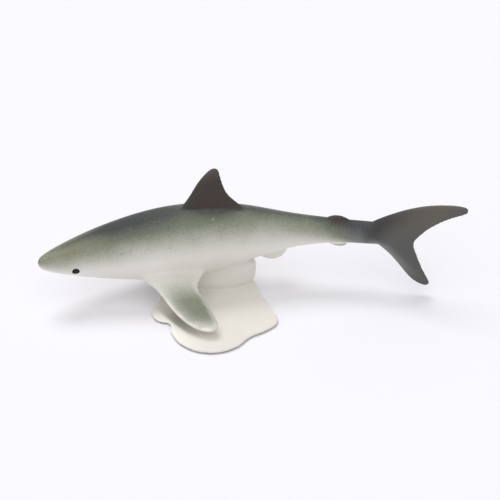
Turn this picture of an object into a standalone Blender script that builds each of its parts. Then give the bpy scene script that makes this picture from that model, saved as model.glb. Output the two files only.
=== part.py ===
"""Shark figurine: a small porcelain shark that swims over a thin lobed base.

The real figurine is fired in one piece, so the model is one solid. The shark is
modelled straight, as a half that is mirrored, with its fins joined on. It is then
bent along the swim curve and joined to the pedestal and the base plate.

Frame of the finished piece: +Z up, the snout towards -X, and the origin on the
underside of the base plate, below the pedestal. In the straight
shark X is the distance from the snout, Y is sideways and Z is height over the
body's axis. Everything is in metres.
"""

import math

import bpy
import bmesh
from mathutils import Vector

MM = 0.001
MERGE = 0.00001
ROUNDING_LEVELS = 2
SMALL_FIN_LEVELS = 1

# Body
SECTION_STEPS = 4
SNOUT_TIP = 0.5 * MM
TAIL_ROOT_END = 98.5 * MM
BODY_SECTIONS = (
    # distance from snout, half height, half width
    (1.0 * MM, 1.25 * MM, 1.35 * MM),
    (3.2 * MM, 2.5 * MM, 2.65 * MM),
    (7.0 * MM, 3.8 * MM, 3.95 * MM),
    (13.0 * MM, 5.65 * MM, 5.65 * MM),
    (20.5 * MM, 7.5 * MM, 7.3 * MM),
    (28.5 * MM, 9.05 * MM, 8.7 * MM),
    (36.5 * MM, 9.95 * MM, 9.45 * MM),
    (44.5 * MM, 9.75 * MM, 9.25 * MM),
    (52.5 * MM, 8.5 * MM, 8.1 * MM),
    (60.5 * MM, 6.65 * MM, 6.25 * MM),
    (68.5 * MM, 4.6 * MM, 4.3 * MM),
    (76.5 * MM, 3.6 * MM, 3.2 * MM),
    (84.0 * MM, 3.1 * MM, 2.6 * MM),
    (90.5 * MM, 3.3 * MM, 2.0 * MM),
    (95.5 * MM, 3.0 * MM, 1.4 * MM),
)

# Blade section that all fins share, as shares of the chord and of the thickness
LEADING_ROUND = 0.13
TRAILING_TAPER = 0.28
TRAILING_THINNING = 0.75
BLADE_GROWTH = 1.2

# Fins on the middle plane: each row runs from the leading to the trailing edge
# as (along, height) pairs, and then gives the thickness of the blade.
DORSAL_FIN = (
    (36.5 * MM, 5.0 * MM, 60.5 * MM, 4.0 * MM, 5.4 * MM),
    (39.6 * MM, 9.6 * MM, 56.3 * MM, 8.0 * MM, 3.7 * MM),
    (42.7 * MM, 12.7 * MM, 52.9 * MM, 11.6 * MM, 2.6 * MM),
    (45.1 * MM, 16.4 * MM, 51.9 * MM, 15.6 * MM, 2.0 * MM),
    (48.0 * MM, 19.1 * MM, 51.6 * MM, 18.7 * MM, 1.5 * MM),
    (49.7 * MM, 20.3 * MM, 51.3 * MM, 20.2 * MM, 1.2 * MM),
)
SECOND_DORSAL_FIN = (
    (75.0 * MM, 1.5 * MM, 86.0 * MM, 1.5 * MM, 2.6 * MM),
    (76.8 * MM, 3.2 * MM, 84.2 * MM, 3.1 * MM, 1.9 * MM),
    (79.6 * MM, 4.9 * MM, 83.6 * MM, 4.1 * MM, 1.2 * MM),
)
ANAL_FIN = (
    (75.0 * MM, -1.5 * MM, 85.5 * MM, -1.5 * MM, 2.6 * MM),
    (76.8 * MM, -3.2 * MM, 83.4 * MM, -3.4 * MM, 1.9 * MM),
    (80.2 * MM, -4.6 * MM, 83.4 * MM, -4.8 * MM, 1.2 * MM),
)
TAIL_FIN = (
    (114.6 * MM, 11.7 * MM, 115.4 * MM, 9.9 * MM, 1.2 * MM),
    (109.9 * MM, 11.5 * MM, 111.6 * MM, 8.2 * MM, 1.5 * MM),
    (104.2 * MM, 10.3 * MM, 108.0 * MM, 6.0 * MM, 1.8 * MM),
    (98.8 * MM, 8.2 * MM, 104.4 * MM, 2.9 * MM, 2.1 * MM),
    (93.2 * MM, 5.3 * MM, 101.9 * MM, -0.2 * MM, 3.1 * MM),
    (85.5 * MM, 0.8 * MM, 101.0 * MM, -1.7 * MM, 4.2 * MM),
    (91.8 * MM, -2.9 * MM, 101.4 * MM, -3.5 * MM, 3.1 * MM),
    (95.7 * MM, -6.5 * MM, 102.4 * MM, -5.9 * MM, 2.2 * MM),
    (98.8 * MM, -10.3 * MM, 103.6 * MM, -8.6 * MM, 1.8 * MM),
    (101.4 * MM, -13.2 * MM, 105.0 * MM, -11.2 * MM, 1.5 * MM),
    (105.2 * MM, -14.3 * MM, 106.4 * MM, -13.2 * MM, 1.2 * MM),
)

# Paired fins: each row is (along, sideways, height) of the leading edge, then of
# the trailing edge, and then the thickness of the blade.
PECTORAL_FIN = (
    (25.0 * MM, 3.0 * MM, -4.0 * MM, 46.5 * MM, 3.0 * MM, -4.0 * MM, 7.0 * MM),
    (28.0 * MM, 8.0 * MM, -5.6 * MM, 43.8 * MM, 8.4 * MM, -5.8 * MM, 4.6 * MM),
    (31.2 * MM, 12.0 * MM, -6.9 * MM, 40.8 * MM, 12.0 * MM, -6.9 * MM, 2.9 * MM),
    (32.9 * MM, 16.6 * MM, -8.5 * MM, 42.7 * MM, 16.4 * MM, -8.4 * MM, 2.2 * MM),
    (35.6 * MM, 21.4 * MM, -10.1 * MM, 44.1 * MM, 20.6 * MM, -9.8 * MM, 1.8 * MM),
    (38.8 * MM, 25.0 * MM, -11.3 * MM, 45.0 * MM, 23.7 * MM, -10.9 * MM, 1.5 * MM),
    (42.3 * MM, 26.7 * MM, -11.9 * MM, 45.1 * MM, 26.2 * MM, -11.8 * MM, 1.2 * MM),
)
PELVIC_FIN = (
    (55.5 * MM, 2.0 * MM, -3.0 * MM, 70.0 * MM, 1.5 * MM, -1.6 * MM, 2.6 * MM),
    (58.4 * MM, 4.3 * MM, -4.3 * MM, 67.8 * MM, 3.4 * MM, -2.8 * MM, 1.8 * MM),
    (63.2 * MM, 6.5 * MM, -5.2 * MM, 66.6 * MM, 5.9 * MM, -4.4 * MM, 1.2 * MM),
)

# Swim curve: the body's axis in the finished frame, from snout to tail
SWIM_CURVE = (
    (-49.6 * MM, -13.2 * MM, 14.8 * MM),
    (-31.5 * MM, -5.6 * MM, 14.0 * MM),
    (-12.0 * MM, -1.4 * MM, 14.8 * MM),
    (8.0 * MM, 0.6 * MM, 16.5 * MM),
    (38.0 * MM, -1.3 * MM, 17.2 * MM),
    (64.0 * MM, -8.5 * MM, 17.1 * MM),
)

# Base plate and pedestal
PLATE_THICKNESS = 1.0 * MM
PLATE_RIM_RADIUS = 0.35 * MM
PLATE_RIM_STEPS = 1
PLATE_OUTLINE_STEPS = 5
PLATE_OUTLINE = (
    (13.1 * MM, -18.6 * MM),
    (11.3 * MM, -12.4 * MM),
    (8.5 * MM, -5.1 * MM),
    (6.7 * MM, 1.5 * MM),
    (3.5 * MM, 7.5 * MM),
    (-4.0 * MM, 9.5 * MM),
    (-12.0 * MM, 6.5 * MM),
    (-17.0 * MM, -1.0 * MM),
    (-18.6 * MM, -8.9 * MM),
    (-19.8 * MM, -15.4 * MM),
    (-17.8 * MM, -18.5 * MM),
    (-15.2 * MM, -19.5 * MM),
    (-14.4 * MM, -23.8 * MM),
    (-10.9 * MM, -29.7 * MM),
    (-4.3 * MM, -32.5 * MM),
    (2.2 * MM, -30.2 * MM),
    (5.9 * MM, -25.6 * MM),
    (10.7 * MM, -22.1 * MM),
)
PEDESTAL_STEPS = 8
PEDESTAL_MIDDLE = (-2.8 * MM, -0.2 * MM)
PEDESTAL_TURN = math.radians(5.0)
PEDESTAL_SECTIONS = (
    # height over the plate, half length, half depth
    (-0.5 * MM, 9.0 * MM, 4.3 * MM),
    (1.8 * MM, 10.3 * MM, 4.7 * MM),
    (4.6 * MM, 10.3 * MM, 4.3 * MM),
    (8.5 * MM, 10.6 * MM, 4.8 * MM),
)

# Finish
PORCELAIN_COLOUR = (0.33, 0.34, 0.29, 1.0)
PORCELAIN_ROUGHNESS = 0.5


def collection(name):
    """Makes a collection in the scene."""
    made = bpy.data.collections.new(name)
    bpy.context.scene.collection.children.link(made)
    return made


def add_object(name, data, where):
    """Puts data in the scene as an object of the given name."""
    made = bpy.data.objects.new(name, data)
    where.objects.link(made)
    return made


def hide_as_guide(thing):
    """Marks a guide or a joined-in shape, which is no piece of its own."""
    thing.hide_render = True
    thing.display_type = "WIRE"


def add_cap(shape, ring, tip, closed):
    """Closes the end of a loft, with quads round a tip point if there is one."""
    if tip is None:
        shape.faces.new(ring)
        return
    point = shape.verts.new(tip)
    corners = ring + ring[:1] if closed else ring
    for index in range(0, len(corners) - 1, 2):
        shape.faces.new((*corners[index:index + 3], point))


def loft(name, rows, closed, tips=(None, None)):
    """Skins rows of points with quads. A closed row runs all the way round."""
    shape = bmesh.new()
    rings = [[shape.verts.new(point) for point in row] for row in rows]
    count = len(rings[0])
    spans = count if closed else count - 1
    for ring, following in zip(rings, rings[1:]):
        for index in range(spans):
            after = (index + 1) % count
            shape.faces.new((ring[index], ring[after], following[after], following[index]))
    add_cap(shape, rings[0], tips[0], closed)
    add_cap(shape, rings[-1], tips[1], closed)
    bmesh.ops.recalc_face_normals(shape, faces=shape.faces)
    mesh = bpy.data.meshes.new(name)
    shape.to_mesh(mesh)
    shape.free()
    return mesh


def add_other_side(thing):
    """Mirrors a shape that is modelled on one side of the middle plane."""
    mirror = thing.modifiers.new("other side", "MIRROR")
    mirror.use_axis = (False, True, False)
    mirror.merge_threshold = MERGE


def add_rounding(thing, levels):
    """Rounds a coarse cage."""
    smooth = thing.modifiers.new("rounded form", "SUBSURF")
    smooth.levels = levels
    smooth.render_levels = levels


def join_pieces(thing, name, pieces):
    """Joins all the shapes of a collection to one object."""
    union = thing.modifiers.new(name, "BOOLEAN")
    union.operation = "UNION"
    union.solver = "EXACT"
    union.operand_type = "COLLECTION"
    union.collection = pieces


def body_mesh():
    """The body from the snout to the tail root, as a half cage of oval sections."""
    step = math.pi / SECTION_STEPS
    growth = 6 / (4 + 2 * math.cos(step))
    rows = []
    for along, half_height, half_width in BODY_SECTIONS:
        row = []
        for index in range(SECTION_STEPS + 1):
            on_middle = index in (0, SECTION_STEPS)
            side = 0.0 if on_middle else math.sin(index * step) * half_width * growth
            height = math.cos(index * step) * half_height * growth
            row.append((along, side, height))
        rows.append(row)
    return loft("body", rows, closed=False, tips=((SNOUT_TIP, 0.0, 0.0), (TAIL_ROOT_END, 0.0, 0.0)))


def blade_points(leading, trailing, thickness, across):
    """One row of a fin: its two edges and the points that thicken it on one side."""
    chord = trailing - leading
    swell = across * thickness / 2 * BLADE_GROWTH
    front = leading + chord * LEADING_ROUND + swell
    rear = leading + chord * (1 - TRAILING_TAPER) + swell * TRAILING_THINNING
    nose = leading - chord * LEADING_ROUND / 2
    tail = trailing + chord * TRAILING_TAPER / 2
    return nose, front, rear, tail


def middle_fin_mesh(name, fin):
    """A fin on the middle plane, as a half cage."""
    rows = []
    for lead_along, lead_height, trail_along, trail_height, thickness in fin:
        leading = Vector((lead_along, 0.0, lead_height))
        trailing = Vector((trail_along, 0.0, trail_height))
        rows.append(blade_points(leading, trailing, thickness, Vector((0.0, 1.0, 0.0))))
    return loft(name, rows, closed=False)


def paired_fin_mesh(name, fin):
    """One of a pair of fins, as a closed cage beside the middle plane."""
    edges = [(Vector(row[0:3]), Vector(row[3:6]), row[6]) for row in fin]
    spread = edges[-1][0] - edges[0][0]
    chord = edges[0][1] - edges[0][0]
    across = chord.cross(spread).normalized()
    rows = []
    for leading, trailing, thickness in edges:
        upper = blade_points(leading, trailing, thickness, across)
        lower = blade_points(leading, trailing, thickness, -across)
        rows.append((*upper, lower[2], lower[1]))
    return loft(name, rows, closed=True)


def swim_curve():
    """The line that the straight shark is bent along."""
    curve = bpy.data.curves.new("swim_curve", "CURVE")
    curve.dimensions = "3D"
    curve.twist_mode = "Z_UP"
    curve.resolution_u = 24
    spline = curve.splines.new("BEZIER")
    spline.bezier_points.add(len(SWIM_CURVE) - 1)
    for point, place in zip(spline.bezier_points, SWIM_CURVE):
        point.co = place
        point.handle_left_type = "AUTO"
        point.handle_right_type = "AUTO"
    return curve


def plate_mesh():
    """The lobed base plate, with a rounded rim."""
    outline = bpy.data.curves.new("plate_outline", "CURVE")
    outline.dimensions = "2D"
    outline.fill_mode = "BOTH"
    outline.extrude = PLATE_THICKNESS / 2 - PLATE_RIM_RADIUS
    outline.bevel_depth = PLATE_RIM_RADIUS
    outline.bevel_resolution = PLATE_RIM_STEPS
    outline.offset = -PLATE_RIM_RADIUS
    outline.resolution_u = PLATE_OUTLINE_STEPS
    spline = outline.splines.new("BEZIER")
    spline.bezier_points.add(len(PLATE_OUTLINE) - 1)
    spline.use_cyclic_u = True
    for point, (across, deep) in zip(spline.bezier_points, PLATE_OUTLINE):
        point.co = (across, deep, 0.0)
        point.handle_left_type = "AUTO"
        point.handle_right_type = "AUTO"
    drawn = add_object("plate_outline", outline, bpy.context.scene.collection)
    evaluated = drawn.evaluated_get(bpy.context.evaluated_depsgraph_get())
    mesh = bpy.data.meshes.new_from_object(evaluated)
    bpy.data.objects.remove(drawn)
    shape = bmesh.new()
    shape.from_mesh(mesh)
    bmesh.ops.remove_doubles(shape, verts=shape.verts, dist=MERGE)
    bmesh.ops.dissolve_limit(
        shape, angle_limit=math.radians(0.5), verts=shape.verts, edges=shape.edges)
    bmesh.ops.translate(shape, verts=shape.verts, vec=(0.0, 0.0, PLATE_THICKNESS / 2))
    bmesh.ops.recalc_face_normals(shape, faces=shape.faces)
    shape.to_mesh(mesh)
    shape.free()
    return mesh


def pedestal_mesh():
    """The low pillow between the plate and the belly."""
    step = math.tau / PEDESTAL_STEPS
    growth = 6 / (4 + 2 * math.cos(step))
    rows = []
    for height, half_length, half_depth in PEDESTAL_SECTIONS:
        row = []
        for index in range(PEDESTAL_STEPS):
            along = math.cos((index + 0.5) * step) * half_length * growth
            deep = math.sin((index + 0.5) * step) * half_depth * growth
            row.append((along, deep, PLATE_THICKNESS + height))
        rows.append(row)
    return loft("pedestal", rows, closed=True)


def porcelain():
    """Fired, unglazed porcelain with sprayed grey-green colour, as one mean tone."""
    material = bpy.data.materials.new("porcelain")
    material.use_nodes = True
    shader = material.node_tree.nodes["Principled BSDF"]
    shader.inputs["Base Color"].default_value = PORCELAIN_COLOUR
    shader.inputs["Roughness"].default_value = PORCELAIN_ROUGHNESS
    shader.inputs["Metallic"].default_value = 0.0
    return material


for old in list(bpy.data.objects):
    bpy.data.objects.remove(old)

pieces = collection("shark_figurine")
fins = collection("fins")
base = collection("base")
guides = collection("guides")

shark = add_object("shark_figurine", body_mesh(), pieces)
shark.data.materials.append(porcelain())
add_other_side(shark)
add_rounding(shark, ROUNDING_LEVELS)

fin_shapes = (
    ("dorsal_fin", middle_fin_mesh, DORSAL_FIN, ROUNDING_LEVELS),
    ("second_dorsal_fin", middle_fin_mesh, SECOND_DORSAL_FIN, ROUNDING_LEVELS),
    ("anal_fin", middle_fin_mesh, ANAL_FIN, SMALL_FIN_LEVELS),
    ("tail_fin", middle_fin_mesh, TAIL_FIN, ROUNDING_LEVELS),
    ("pectoral_fins", paired_fin_mesh, PECTORAL_FIN, ROUNDING_LEVELS),
    ("pelvic_fins", paired_fin_mesh, PELVIC_FIN, ROUNDING_LEVELS),
)
for name, fin_mesh, rows, levels in fin_shapes:
    fin = add_object(name, fin_mesh(name, rows), fins)
    add_other_side(fin)
    add_rounding(fin, levels)
    hide_as_guide(fin)
join_pieces(shark, "fins", fins)

line = add_object("swim_curve", swim_curve(), guides)
hide_as_guide(line)
bend = shark.modifiers.new("swimming bend", "CURVE")
bend.object = line

pedestal = add_object("pedestal", pedestal_mesh(), base)
pedestal.location.xy = PEDESTAL_MIDDLE
pedestal.rotation_euler.z = PEDESTAL_TURN
add_rounding(pedestal, ROUNDING_LEVELS)
hide_as_guide(pedestal)
plate = add_object("base_plate", plate_mesh(), base)
hide_as_guide(plate)
join_pieces(shark, "base", base)
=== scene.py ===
"""Looks of the shark figurine: satin porcelain, sprayed with colour, on a pale table."""

import math

import bpy
import numpy as np
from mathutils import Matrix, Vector


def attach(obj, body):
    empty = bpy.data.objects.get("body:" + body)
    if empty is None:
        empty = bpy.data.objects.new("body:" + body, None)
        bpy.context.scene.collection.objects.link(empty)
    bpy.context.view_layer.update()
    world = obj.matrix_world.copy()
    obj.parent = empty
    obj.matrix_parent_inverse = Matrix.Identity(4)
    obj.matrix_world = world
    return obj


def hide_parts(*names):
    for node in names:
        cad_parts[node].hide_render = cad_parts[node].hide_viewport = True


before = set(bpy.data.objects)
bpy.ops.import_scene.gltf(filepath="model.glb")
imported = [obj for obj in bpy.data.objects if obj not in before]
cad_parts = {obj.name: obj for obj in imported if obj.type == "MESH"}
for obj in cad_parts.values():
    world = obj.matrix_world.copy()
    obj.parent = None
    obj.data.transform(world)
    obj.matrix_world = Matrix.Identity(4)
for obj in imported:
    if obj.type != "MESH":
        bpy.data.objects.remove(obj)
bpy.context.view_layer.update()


# Porcelain casting
# Shark, pedestal and base plate are one piece of fired porcelain. It is cast in a
# plaster mould, its seams are scraped off, and damp sponging softens every edge and root.
MM = 0.001
SKIN_SPACING = 0.315 * MM
WELD_REACH = 0.001 * MM
SPONGE_STROKES = 22
SPONGE_PULL = 0.5
SPONGE_RETURN = 0.53
ROOT_STROKES = 12
ROOT_HOLLOW = 0.05
ROOT_SPREAD = 8
FOOT_BEVEL = 0.5 * MM
FOOT_BEVEL_HEIGHT = 0.6 * MM


def neighbours_mean(values, links):
    """The mean of each point's neighbours, for the columns of values."""
    near, far = links
    count = np.bincount(near, minlength=len(values))
    sums = [np.bincount(near, weights=column[far], minlength=len(values)) for column in values.T]
    return np.stack(sums, axis=1) / count[:, None]


def sponged(points, links):
    """Evens out the skin. Every second stroke undoes the shrinking of the first."""
    for _ in range(SPONGE_STROKES):
        points = points + SPONGE_PULL * (neighbours_mean(points, links) - points)
        points = points - SPONGE_RETURN * (neighbours_mean(points, links) - points)
    return points


def filled_roots(points, normals, links):
    """Rounds out the hollows where the fins and the pedestal meet the body."""
    dip = ((neighbours_mean(points, links) - points) * normals).sum(axis=1) / SKIN_SPACING
    hollow = np.clip(dip / ROOT_HOLLOW, 0, 1)[:, None]
    for _ in range(ROOT_SPREAD):
        hollow = neighbours_mean(hollow, links)
    weight = np.clip(2 * hollow, 0, 1)
    for _ in range(ROOT_STROKES):
        points = points + SPONGE_PULL * weight * (neighbours_mean(points, links) - points)
    return points


def read_points(mesh, what):
    """Positions or normals of a mesh's points, one row each."""
    values = np.empty(len(mesh.vertices) * 3)
    mesh.vertices.foreach_get(what, values)
    return values.reshape(-1, 3)


def move_points(mesh, points):
    """Puts a mesh's points in these places, and lets its normals follow."""
    mesh.vertices.foreach_set("co", points.ravel())
    mesh.update()


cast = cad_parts["shark_figurine"]
blank = bpy.data.objects.new("blank", cast.data.copy())
bpy.context.scene.collection.objects.link(blank)
weld = blank.modifiers.new("weld", "WELD")
weld.merge_threshold = WELD_REACH
skin = blank.modifiers.new("skin", "REMESH")
skin.mode = "VOXEL"
skin.voxel_size = SKIN_SPACING
evaluated = blank.evaluated_get(bpy.context.evaluated_depsgraph_get())
shark = bpy.data.objects.new("porcelain_shark", bpy.data.meshes.new_from_object(evaluated))
bpy.context.scene.collection.objects.link(shark)
bpy.data.objects.remove(blank)

edges = np.empty(len(shark.data.edges) * 2, dtype=np.int64)
shark.data.edges.foreach_get("vertices", edges)
start, end = edges.reshape(-1, 2).T
links = (np.concatenate([start, end]), np.concatenate([end, start]))
points = sponged(read_points(shark.data, "co"), links)
move_points(shark.data, points)
points = filled_roots(points, read_points(shark.data, "normal"), links)
move_points(shark.data, points)
lift = np.clip(points[:, 2] / FOOT_BEVEL_HEIGHT, 0, 1)[:, None]
points[:, :2] -= (1 - lift) * FOOT_BEVEL * read_points(shark.data, "normal")[:, :2]
points[:, 2] = np.maximum(points[:, 2], 0)
move_points(shark.data, points)
shark.data.shade_smooth()


# Places on the shark
# The stain is airbrushed by hand, so each colour follows the fish. Places on it are read
# in millimetres, along its swimming curve: how far from the snout, how high and how far
# out from the curve, and how far round the body, in degrees from the back.
SWIM_LINE = np.array([(-49.6, -13.2, 14.8), (-31.5, -5.6, 14.0), (-12.0, -1.4, 14.8),
                      (8.0, 0.6, 16.5), (38.0, -1.3, 17.2), (64.0, -8.5, 17.1)])
LINE_STEPS = 80
BATCHES = 40

# Each row has a distance from the snout, and half the body's height and width there.
GIRTH = np.array([(0.0, 0.3, 0.3), (1.0, 1.25, 1.35), (3.2, 2.5, 2.65), (7.0, 3.8, 3.95),
                  (13.0, 5.65, 5.65), (20.5, 7.5, 7.3), (28.5, 9.05, 8.7), (36.5, 9.95, 9.45),
                  (44.5, 9.75, 9.25), (52.5, 8.5, 8.1), (60.5, 6.65, 6.25), (68.5, 4.6, 4.3),
                  (76.5, 3.6, 3.2), (84.0, 3.1, 2.6), (90.5, 3.3, 2.0), (95.5, 3.0, 1.4)])


def curve_through(knots, steps):
    """A smooth line through the knots, as closely spaced points."""
    before = 2 * knots[0] - knots[1]
    after = 2 * knots[-1] - knots[-2]
    path = np.vstack([before, knots, after])
    share = np.linspace(0, 1, steps, endpoint=False)[:, None]
    line = []
    for a, b, c, d in zip(path, path[1:], path[2:], path[3:]):
        line.append(0.5 * (2 * b + (c - a) * share + (2 * a - 5 * b + 4 * c - d) * share ** 2
                           + (3 * b - a - 3 * c + d) * share ** 3))
    return np.vstack([*line, knots[-1:]])


line = curve_through(SWIM_LINE, LINE_STEPS)
steps = np.linalg.norm(np.diff(line, axis=0), axis=1)
run = np.concatenate([[0.0], np.cumsum(steps)])
heading = np.gradient(line[:, :2], axis=0)
heading /= np.linalg.norm(heading, axis=1)[:, None]
places = points / MM
nearest = np.concatenate([
    np.argmin(((batch[:, None, :2] - line[None, :, :2]) ** 2).sum(axis=2), axis=1)
    for batch in np.array_split(places, BATCHES)])
offset = places - line[nearest]
forward = heading[nearest]
along = run[nearest] + (offset[:, :2] * forward).sum(axis=1)
sideways = offset[:, 1] * forward[:, 0] - offset[:, 0] * forward[:, 1]
height = offset[:, 2]
out = np.abs(sideways)
half_height = np.interp(along, GIRTH[:, 0], GIRTH[:, 1])
half_width = np.interp(along, GIRTH[:, 0], GIRTH[:, 2])
angle = np.degrees(np.arctan2(out / half_width, height / half_height))
proud = (np.hypot(out / half_width, height / half_height) - 1) * half_height


# Flanks and back
# The bare porcelain is warm white. A grey-green stain, more olive on the head and greyer
# before the tail, is airbrushed on from above and fades out down the flanks. Slate is
# dusted over it along the back.
BARE_WHITE = (237, 234, 228)
BARE_CREAM = (234, 230, 222)
FLANK_GREEN = (126, 132, 113)
HEAD_OLIVE = (129, 132, 108)
TAIL_END_GREY = (130, 132, 130)
BACK_SLATE = (65, 67, 69)
SPRAY_DARK = (84, 86, 77)

# The spray's grains and clouds: how many there are in a metre, how much of each breaks up
# a spray after its fullest thickness, and where they show in the colours.
SPRAY_GRAIN = 2600.0
SPRAY_DRIFT = 150.0
FLANK_SPECKLE = (1.25, 1.4, 0.8)
BACK_SPECKLE = (1.2, 1.1, 0.6)
BARE_CLOUDS = (-0.4, 0.4)
HEAD_CLOUDS = 0.8
DARK_GRAINS = (-0.02, -0.25)
DARK_GRAIN_DEPTH = 0.3

# How thick each spray lies. Each row has a distance from the snout, the angle where the
# spray is half faded there, the degrees in which it fades on either side, and how thick
# it lies on the back.
FLANK_SPRAY = np.array([(0, 96, 60, 0.92), (6, 88, 58, 0.92), (11, 78, 46, 0.97),
                        (17, 71, 38, 0.99), (27, 66, 32, 1), (33, 65, 30, 1), (40, 63, 30, 1),
                        (48, 65, 34, 1), (56, 67, 42, 0.98), (61, 67, 46, 0.97),
                        (67, 72, 52, 0.95), (72, 83, 54, 0.93), (77, 99, 52, 0.94),
                        (82, 128, 50, 1), (87, 190, 60, 1), (90, 250, 60, 1)])
BACK_SPRAY = np.array([(0, -30, 24, 1), (6, -4, 30, 1), (14, 15, 28, 1), (20, 31, 25, 0.98),
                       (27, 35, 25, 0.98), (35, 32, 25, 0.92), (40, 25, 26, 0.76),
                       (48, 24, 24, 0.96), (56, 15, 26, 1), (66, 14, 26, 0.92),
                       (72, 15, 28, 0.84), (77, 32, 38, 0.86), (83, 62, 56, 1),
                       (87, 86, 66, 0.95), (90, 150, 95, 0.86), (95, 250, 110, 0.8)])

# Where the body's own spray stops: on what stands proud of it, but not on the tail or
# the back. Then where it is olive and where it is grey. Two numbers are the start and the
# end of a soft step, and four are those of two steps, up and down again.
FIN_PROUD = (2.0, 0.4)
TAIL_START = (84, 88)
TOP_ANGLE = (90, 40)
HEAD_REACH = (24, 8)
TAIL_END_REACH = (80, 87)

# The pelvic fins and the anal fin: how proud, how far from the snout, how high, and how
# thick their light spray lies.
PELVIC_PROUD = (0.2, 1.0)
PELVIC_RUN = (56, 59, 70, 72)
PELVIC_HEIGHT = (-9.0, -7.5, -3.0, -1.5)
PELVIC_SPRAY = 0.15
ANAL_PROUD = (0.2, 0.8)
ANAL_RUN = (75, 78, 84, 86)
ANAL_HEIGHT = (-0.5, -2.5)
ANAL_SPRAY = 0.6


class Tone:
    """One socket of a material. Sums and products of tones add their own nodes."""

    def __init__(self, tree, socket=None):
        self.tree = tree
        self.socket = socket

    def make(self, kind, settings=None, values=None, output=0):
        """Adds a node: its settings first, then the values or links of its sockets."""
        node = self.tree.nodes.new(kind)
        for name, setting in (settings or {}).items():
            setattr(node, name, setting)
        for name, value in (values or {}).items():
            if isinstance(value, Tone):
                self.tree.links.new(value.socket, node.inputs[name])
            else:
                node.inputs[name].default_value = value
        return Tone(self.tree, node.outputs[output])

    def math(self, operation, *values):
        return self.make("ShaderNodeMath", {"operation": operation}, dict(enumerate(values)))

    def __add__(self, other):
        return self.math("ADD", self, other)

    def __sub__(self, other):
        return self.math("SUBTRACT", self, other)

    def __rsub__(self, other):
        return self.math("SUBTRACT", other, self)

    def __mul__(self, other):
        return self.math("MULTIPLY", self, other)

    def __truediv__(self, other):
        return self.math("DIVIDE", self, other)

    def __rtruediv__(self, other):
        return self.math("DIVIDE", other, self)

    __radd__ = __add__
    __rmul__ = __mul__

    def reading(self, name, values):
        """A number for each point of the skin, kept on its mesh and read back here."""
        kept = shark.data.attributes.new(name, "FLOAT", "POINT")
        kept.data.foreach_set("value", values.astype(np.float32))
        return self.make("ShaderNodeAttribute", {"attribute_name": name}, output="Fac")

    def rise(self, start, end):
        """0 before start, 1 after end, and a soft step between. It falls if end is lower."""
        return self.make("ShaderNodeMapRange", {"interpolation_type": "SMOOTHSTEP"},
                         {"Value": self, "From Min": start, "From Max": end})

    def over(self, under, colour):
        """Lays a colour over what is under it, where this tone is 1."""
        colour = colour if isinstance(colour, Tone) else pigment(*colour)
        under = under if isinstance(under, Tone) else pigment(*under)
        # Inputs 6 and 7 and output 2 of a Mix node are the ones for colours.
        return self.make("ShaderNodeMix", {"data_type": "RGBA"},
                         {"Factor": self, 6: under, 7: colour}, output=2)

    def noise(self, scale, detail):
        """Cloudy noise around 0, of so many clouds a metre."""
        return self.make("ShaderNodeTexNoise", {},
                         {"Vector": self, "Scale": scale, "Detail": detail}) - 0.5


def pigment(red, green, blue):
    """A colour as a colour chart gives it, from 0 to 255, made linear."""
    shares = [part / 255 for part in (red, green, blue)]
    return (*(s / 12.92 if s <= 0.04045 else ((s + 0.055) / 1.055) ** 2.4 for s in shares), 1.0)


def soft_step(values, start, end):
    """0 before start, 1 after end, and a soft step between. It falls if end is lower."""
    share = np.clip((values - start) / (end - start), 0, 1)
    return share * share * (3 - 2 * share)


def within(values, start, full, fading, end):
    """0 before start and after end, 1 from full to fading, and soft steps between."""
    return soft_step(values, start, full) * soft_step(values, end, fading)


def read_off(values, rows, column=1):
    """Where the values lie in the first column of the rows, what another column says."""
    return np.interp(values, rows[:, 0], rows[:, column])


def sprayed_from_above(rows):
    """How thick a spray lies on the body, from its rows."""
    edge, fade, thickness = (read_off(along, rows, column) for column in (1, 2, 3))
    return soft_step(angle, edge + fade, edge - fade) * thickness


def speckled(spray, fullest, by_grain, by_drift):
    """Breaks a spray up into grains and clouds, least where it lies thin or full."""
    return spray + spray * (fullest - spray) * (grain * by_grain + drift * by_drift)


sprayed = bpy.data.materials.new("sprayed_porcelain")
sprayed.use_nodes = True
shader = sprayed.node_tree.nodes["Principled BSDF"]
paint = Tone(sprayed.node_tree)
place = paint.make("ShaderNodeTexCoord", output="Object")
grain = place.noise(SPRAY_GRAIN, 1.0)
drift = place.noise(SPRAY_DRIFT, 3.0)

on_body = (soft_step(proud, *FIN_PROUD) + soft_step(along, *TAIL_START)
           + soft_step(angle, *TOP_ANGLE))
on_body = np.clip(on_body, 0, 1)
on_pelvic = (soft_step(proud, *PELVIC_PROUD) * within(height, *PELVIC_HEIGHT)
             * within(along, *PELVIC_RUN))
on_anal = (soft_step(proud, *ANAL_PROUD) * soft_step(height, *ANAL_HEIGHT)
           * within(along, *ANAL_RUN))
flank = np.maximum(sprayed_from_above(FLANK_SPRAY) * on_body,
                   PELVIC_SPRAY * on_pelvic + ANAL_SPRAY * on_anal)
flank = paint.reading("flank", flank)
slate = paint.reading("slate", sprayed_from_above(BACK_SPRAY) * on_body)
head = paint.reading("head", soft_step(along, *HEAD_REACH))
tail_end = paint.reading("tail_end", soft_step(along, *TAIL_END_REACH))
flank = speckled(flank, *FLANK_SPECKLE)
slate = speckled(slate, *BACK_SPECKLE)
bare = drift.rise(*BARE_CLOUDS).over(BARE_WHITE, BARE_CREAM)
green = (head + drift * HEAD_CLOUDS).over(FLANK_GREEN, HEAD_OLIVE)
colour = flank.over(bare, tail_end.over(green, TAIL_END_GREY))
colour = slate.over(colour, BACK_SLATE)
dark_grains = flank * (1 - slate) * grain.rise(*DARK_GRAINS) * DARK_GRAIN_DEPTH
colour = dark_grains.over(colour, SPRAY_DARK)


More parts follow.
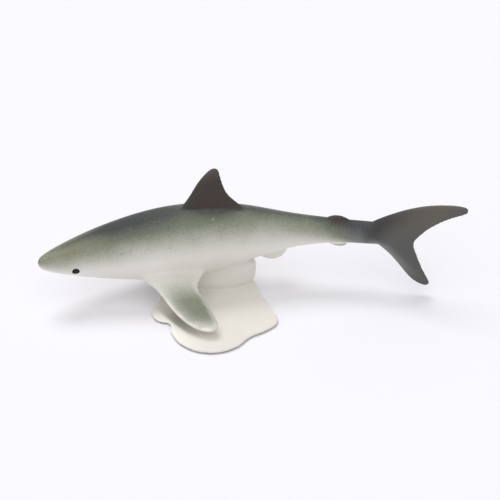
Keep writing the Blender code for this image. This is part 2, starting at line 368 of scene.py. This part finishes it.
# Tail
# The crescent tail fin is cast with the body and sprayed on both faces. It is brown above
# and grey below, dark along the crest of its root, and thinly sprayed on the lower lobe's
# front edge.
TAIL_BROWN = (103, 99, 92)
TAIL_GREY = (93, 94, 92)
TAIL_ROOT_DARK = (64, 61, 62)
THIN_GREEN = (137, 139, 134)
TAIL_REACH = (89.0, 95.5)
TAIL_THICKNESS = 0.98
TAIL_GRAIN = 0.5
TAIL_CLOUDS = 1.2
UPPER_HEIGHT = (-3, 6)
UPPER_REACH = (115, 108)

# The lower lobe's front edge has a point on it, as distance and height, and a slope. The
# spray is thin as far behind it, as high and as far from the snout as this.
LOBE_EDGE = (92.8, -4.3)
LOBE_SLOPE = 0.95
THIN_WIDTH = (4.0, 0.4)
THIN_HEIGHT = (-14, -6, -3, -0.5)
THIN_REACH = (88, 91)

# The crest of the root has its point and slope too, and the dark band its depth and run.
CREST = (92.0, 4.4)
CREST_SLOPE = 0.5
CREST_DEPTH = (7.0, 0.0)
CREST_RUN = (87, 92, 91, 106)
CREST_THICKNESS = 0.9

tail = paint.reading("tail", soft_step(along, *TAIL_REACH))
upper = soft_step(height, *UPPER_HEIGHT) * soft_step(along, *UPPER_REACH)
upper = paint.reading("upper", upper)
behind_edge = along - LOBE_EDGE[0] + LOBE_SLOPE * (height - LOBE_EDGE[1])
behind_edge = behind_edge / math.hypot(1, LOBE_SLOPE)
thin = (soft_step(behind_edge, *THIN_WIDTH) * within(height, *THIN_HEIGHT)
        * soft_step(along, *THIN_REACH))
thin = paint.reading("thin", thin)
below_crest = CREST[1] + CREST_SLOPE * (along - CREST[0]) - height
crest = soft_step(below_crest, *CREST_DEPTH) * within(along, *CREST_RUN)
crest = paint.reading("crest", crest)

brown = (upper + drift * TAIL_CLOUDS).over(TAIL_GREY, TAIL_BROWN)
colour = (tail * (TAIL_THICKNESS + grain * TAIL_GRAIN)).over(colour, brown)
colour = (crest * CREST_THICKNESS).over(colour, TAIL_ROOT_DARK)
colour = thin.over(colour, THIN_GREEN)


# Dorsal fins
# Both fins on the back are cast with it and sprayed dark brown, more thinly along their
# rims. The first one is more olive in front and paler at its tip, and its brown runs a
# little way down onto the back.
DORSAL_BROWN = (73, 64, 60)
DORSAL_OLIVE = (67, 67, 61)
DORSAL_TIP = (104, 96, 94)
DORSAL_THICKNESS = 0.97
DORSAL_GRAIN = 0.8
DORSAL_CLOUDS = 1.6

# The first fin: how proud, the angle, and how far from the snout. Its front leans back by
# this much for each millimetre up, and its tip starts at this height.
FIRST_PROUD = (0.1, 0.5)
FIRST_ANGLE = (70, 45)
FIRST_RUN = (33, 35, 64, 66)
FIRST_FRONT = (39.5, 36.0)
FIRST_LEAN = 0.35
FIRST_TIP = (16.0, 20.5)
TIP_DEPTH = 0.5

# The brown beside its root: each row has a distance from the snout and the width there.
SPILL_WIDTH = np.array([(38, 0.4), (42, 1.2), (50, 1.6)])
SPILL_FADE = (0.5, -0.5)
SPILL_RUN = (38, 41, 54.5, 57)

# The second fin, with how far it reaches from its middle, and the brown beside it.
SECOND_PROUD = (-0.2, 0.6)
SECOND_ANGLE = (80, 50)
SECOND_MIDDLE = 81.3
SECOND_REACH = (4.2, 1.2)
SECOND_SPILL = 0.75
SECOND_SPILL_ANGLE = (60, 15)

# The rims lie where the skin bulges this much, evened out over so many points.
RIM_BULGE = (0.03, 0.11)
RIM_SPREAD = 4
RIM_THINNING = 0.2

normals = read_points(shark.data, "normal")
bulge = ((points - neighbours_mean(points, links)) * normals).sum(axis=1) / SKIN_SPACING
bulge = bulge[:, None]
for _ in range(RIM_SPREAD):
    bulge = neighbours_mean(bulge, links)
rim = paint.reading("rim", soft_step(bulge[:, 0], *RIM_BULGE))

spill = (soft_step(out - read_off(along, SPILL_WIDTH), *SPILL_FADE)
         * within(along, *SPILL_RUN))
first = (np.maximum(soft_step(proud, *FIRST_PROUD), spill) * soft_step(angle, *FIRST_ANGLE)
         * within(along, *FIRST_RUN))
second_spill = SECOND_SPILL * soft_step(angle, *SECOND_SPILL_ANGLE)
second = (np.maximum(soft_step(proud, *SECOND_PROUD), second_spill)
          * soft_step(angle, *SECOND_ANGLE)
          * soft_step(np.abs(along - SECOND_MIDDLE), *SECOND_REACH))
dark_fins = paint.reading("dark_fins", np.maximum(first, second))
front = soft_step(along - FIRST_LEAN * height, *FIRST_FRONT) * first
front = paint.reading("front", front)
tip = paint.reading("tip", soft_step(height, *FIRST_TIP) * first)

dorsal = (front + drift * DORSAL_CLOUDS).over(DORSAL_BROWN, DORSAL_OLIVE)
dorsal = (tip * TIP_DEPTH).over(dorsal, DORSAL_TIP)
thickness = DORSAL_THICKNESS + grain * DORSAL_GRAIN - rim * RIM_THINNING
colour = (dark_fins * thickness).over(colour, dorsal)


# Pectoral fins
# Each is sprayed grey-green on its upper face, thickest halfway out. The spray thins towards
# the root and the tip and stops just short of the front edge, which shows bare, with a painted
# highlight along it.
PECTORAL_GREEN = (127, 132, 114)
EDGE_HIGHLIGHT = (252, 249, 241)
CLOUD_SPECKLE = (1.15, 1.3, 0.6)

# The fin starts this far out and this high, and droops by so much for each millimetre
# out. Its upper face looks up, and lies off the plate, near the fin and in its run.
PECTORAL_ROOT = (8.3, -5.75)
PECTORAL_DROOP = 0.33
LOOKS_UP = (-0.3, 0.15)
OFF_PLATE = (-14.0, -13.4)
NEAR_FIN = (4.5, 1.5)
PECTORAL_RUN = (26.0, 28.0, 49.0, 52.0)

# How thick the spray lies, by how far out a place is and how far from the fin's edges.
SPRAY_BY_REACH = np.array([(6, 0), (9, 0.05), (11, 0.22), (13, 0.48), (15, 0.76), (17, 0.97),
                           (20, 1), (21.5, 0.99), (23, 0.93), (24.5, 0.66), (25.5, 0.36),
                           (26.5, 0.1)])
SPRAY_FROM_FRONT = np.array([(0.1, 0), (0.6, 0.3), (1.2, 0.62), (2.2, 0.85), (3.6, 0.96),
                             (5, 1)])
SPRAY_FROM_BACK = np.array([(0, 0.55), (0.4, 0.78), (0.8, 0.92), (1.4, 1)])

# The fin's edges: each row has how far out, and the distance from the snout there.
FRONT_EDGE = np.array([(7.7, 27.7), (11.2, 30.6), (14.8, 32.2), (19.0, 34.3), (22.7, 36.8),
                       (25.4, 39.8), (26.4, 43.3)])
BACK_EDGE = np.array([(8.4, 43.8), (12.0, 40.8), (16.4, 42.7), (20.6, 44.1), (23.7, 45.0),
                      (26.2, 45.1)])

# The bare rim along the front edge, painted brighter as a highlight: where it starts, going out,
# and how wide it is there.
RIM_START = (11.0, 15.0)
RIM_WIDTH = np.array([(13, 0.7), (23, 1.3)])
RIM_FULL = 0.2

from_front = along - read_off(out, FRONT_EDGE)
from_back = read_off(out, BACK_EDGE) - along
above_fin = height - PECTORAL_ROOT[1] + PECTORAL_DROOP * (out - PECTORAL_ROOT[0])
fin_top = (soft_step(normals[:, 2], *LOOKS_UP) * soft_step(height, *OFF_PLATE)
           * soft_step(above_fin, *NEAR_FIN) * within(along, *PECTORAL_RUN))
cloud = (read_off(out, SPRAY_BY_REACH) * read_off(from_front, SPRAY_FROM_FRONT)
         * read_off(from_back, SPRAY_FROM_BACK) * fin_top)
cloud = paint.reading("cloud", cloud)
# Painted highlight: the front edge is coloured whiter than the bare porcelain.
edge = (fin_top * soft_step(out, *RIM_START)
        * soft_step(from_front, read_off(out, RIM_WIDTH), RIM_FULL))
edge = paint.reading("edge", edge)
cloud = speckled(cloud, *CLOUD_SPECKLE)
colour = cloud.over(colour, PECTORAL_GREEN)
colour = edge.over(colour, EDGE_HIGHLIGHT)


# Eyes and specks
# The eyes are small black ovals painted on low down, with a grey painted highlight in the
# middle. Three dark specks and a white one sit in the spray on the left side, as kiln dust does.
EYE_BLACK = (10, 9, 11)
EYE_HIGHLIGHT_GREY = (44, 42, 46)
SPECK_GREY = (132, 134, 126)
SPECK_WHITE = (166, 168, 166)

# A spot has its place, as distance from the snout and height, and its reach along and up.
# The rims are shares of that reach.
EYE = (9.46, -1.62, 0.97, 1.02)
EYE_HIGHLIGHT = (0.15, 0.6)
EYE_RIM = (1.08, 0.92)
DARK_SPECKS = ((22.1, 3.0, 0.26, 0.26), (29.5, 3.7, 0.22, 0.22), (35.2, 3.6, 0.2, 0.2))
WHITE_SPECK = (47.4, 7.8, 0.3, 0.15)
SPECK_RIM = (1.4, 0.4)
SPECK_DEPTH = 0.7
LEFT_SIDE = (-1.0, -2.0)


def from_spot(far, high, reach_far, reach_high):
    """Distance from a spot on the shark's side, 1 on the rim of an oval of that reach."""
    step = paint.make("ShaderNodeCombineXYZ", {}, {0: (distance - far) / reach_far,
                                                   1: (level - high) / reach_high})
    return paint.make("ShaderNodeVectorMath", {"operation": "LENGTH"}, {0: step}, output="Value")


distance = paint.reading("distance", along)
level = paint.reading("level", height)
left = paint.reading("left", soft_step(sideways, *LEFT_SIDE))
for spot in DARK_SPECKS:
    speck = from_spot(*spot).rise(*SPECK_RIM) * left * SPECK_DEPTH
    colour = speck.over(colour, SPECK_GREY)
speck = from_spot(*WHITE_SPECK).rise(*SPECK_RIM) * left
colour = speck.over(colour, SPECK_WHITE)
from_eye = from_spot(*EYE)
# Painted highlight: the grey middle of each eye stands in for its glint.
eye = from_eye.rise(*EYE_HIGHLIGHT).over(EYE_HIGHLIGHT_GREY, EYE_BLACK)
colour = from_eye.rise(*EYE_RIM).over(colour, eye)


# Foot line
# The plate's lower edge is wiped thin before firing. A thin dark brown line is painted along
# its foot as painted shade, for the shadow where it meets the table.
FOOT_SHADE_BROWN = (112, 99, 92)
FOOT_SHADE_HEIGHT = 0.55
FOOT_SHADE_STRENGTH = 0.8

# Painted shade: this dark line along the foot stands in for the contact shadow on the table.
foot_shade = paint.reading("foot_shade", soft_step(places[:, 2], FOOT_SHADE_HEIGHT, FOOT_SHADE_HEIGHT / 2))
colour = (foot_shade * FOOT_SHADE_STRENGTH).over(colour, FOOT_SHADE_BROWN)


# Satin finish
# The piece is fired without a gloss glaze, so its skin has a soft sheen. The dry stain is
# a little duller than the bare porcelain, and slightly gritty.
SATIN_ROUGHNESS = 0.5
SATIN_SHEEN = 0.18
STAIN_DULLNESS = 0.1
GRIT = 0.02 * MM
GRIT_STRENGTH = 0.3

paint.tree.links.new(colour.socket, shader.inputs["Base Color"])
dull = flank * STAIN_DULLNESS + grain * STAIN_DULLNESS + SATIN_ROUGHNESS
paint.tree.links.new(dull.socket, shader.inputs["Roughness"])
gritty = paint.make("ShaderNodeBump", {},
                    {"Strength": GRIT_STRENGTH, "Distance": GRIT, "Height": grain})
paint.tree.links.new(gritty.socket, shader.inputs["Normal"])
shader.inputs["Specular IOR Level"].default_value = SATIN_SHEEN
shark.data.materials.clear()
shark.data.materials.append(sprayed)
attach(shark, "root")
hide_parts("shark_figurine")


# Table
# The figurine stands on a plain pale table, painted in a dull white. It reaches well
# beyond the picture on every side.
TABLE_WHITE = (250, 249, 254)
TABLE_REACH = 4.0
TABLE_ROUGHNESS = 0.9

bpy.ops.mesh.primitive_plane_add(size=TABLE_REACH)
table = bpy.context.object
table.name = "table"
table_finish = bpy.data.materials.new("table_white")
table_finish.use_nodes = True
table_shader = table_finish.node_tree.nodes["Principled BSDF"]
table_shader.inputs["Base Color"].default_value = pigment(*TABLE_WHITE)
table_shader.inputs["Roughness"].default_value = TABLE_ROUGHNESS
table.data.materials.append(table_finish)


# Light and camera
# One soft light hangs behind the figurine and a wider one in front of it. Half of all the
# light comes from the room, whose walls look plain white to the camera, in the sheen and
# through glass. The camera looks down on the shark's left side.
ROOM_STRENGTH = 0.5

# Each light has its height and turn in degrees, its width, and its share of all the light.
SOFT_LIGHTS = {"back_light": (66.0, 40.0, 30.0, 0.3), "front_light": (60.0, 180.0, 60.0, 0.2)}
CAMERA_DISTANCE = 450.0 * MM
CAMERA_DOWN = math.radians(32.0)
CAMERA_TARGET = Vector((5.85, 0.0, 11.0)) * MM
CAMERA_LENS = 121.8
CAMERA_SENSOR = 36.0

for name, (high, turn, width, share) in SOFT_LIGHTS.items():
    lamp = bpy.data.lights.new(name, "SUN")
    lamp.energy = share * math.pi / math.sin(math.radians(high))
    lamp.angle = math.radians(width)
    light = bpy.data.objects.new(name, lamp)
    light.rotation_euler = (math.radians(high - 90), 0, math.radians(turn))
    bpy.context.scene.collection.objects.link(light)

room = bpy.data.worlds.new("white_room")
room.use_nodes = True
walls = Tone(room.node_tree)
seen, mirrored, through = (walls.make("ShaderNodeLightPath", output=kind)
                           for kind in ("Is Camera Ray", "Is Glossy Ray", "Is Transmission Ray"))
white = walls.math("MINIMUM", seen + mirrored + through, 1.0)
brightness = white * (1 - ROOM_STRENGTH) + ROOM_STRENGTH
behind = room.node_tree.nodes["Background"]
behind.inputs["Color"].default_value = (1.0, 1.0, 1.0, 1.0)
room.node_tree.links.new(brightness.socket, behind.inputs["Strength"])
bpy.context.scene.world = room

camera = bpy.data.objects.new("camera", bpy.data.cameras.new("camera"))
camera.data.lens = CAMERA_LENS
camera.data.sensor_width = CAMERA_SENSOR
back = Vector((0.0, -math.cos(CAMERA_DOWN), math.sin(CAMERA_DOWN)))
camera.location = CAMERA_TARGET + back * CAMERA_DISTANCE
camera.rotation_euler = (math.pi / 2 - CAMERA_DOWN, 0.0, 0.0)
bpy.context.scene.collection.objects.link(camera)
bpy.context.scene.camera = camera
bpy.context.scene.view_settings.view_transform = "Standard"
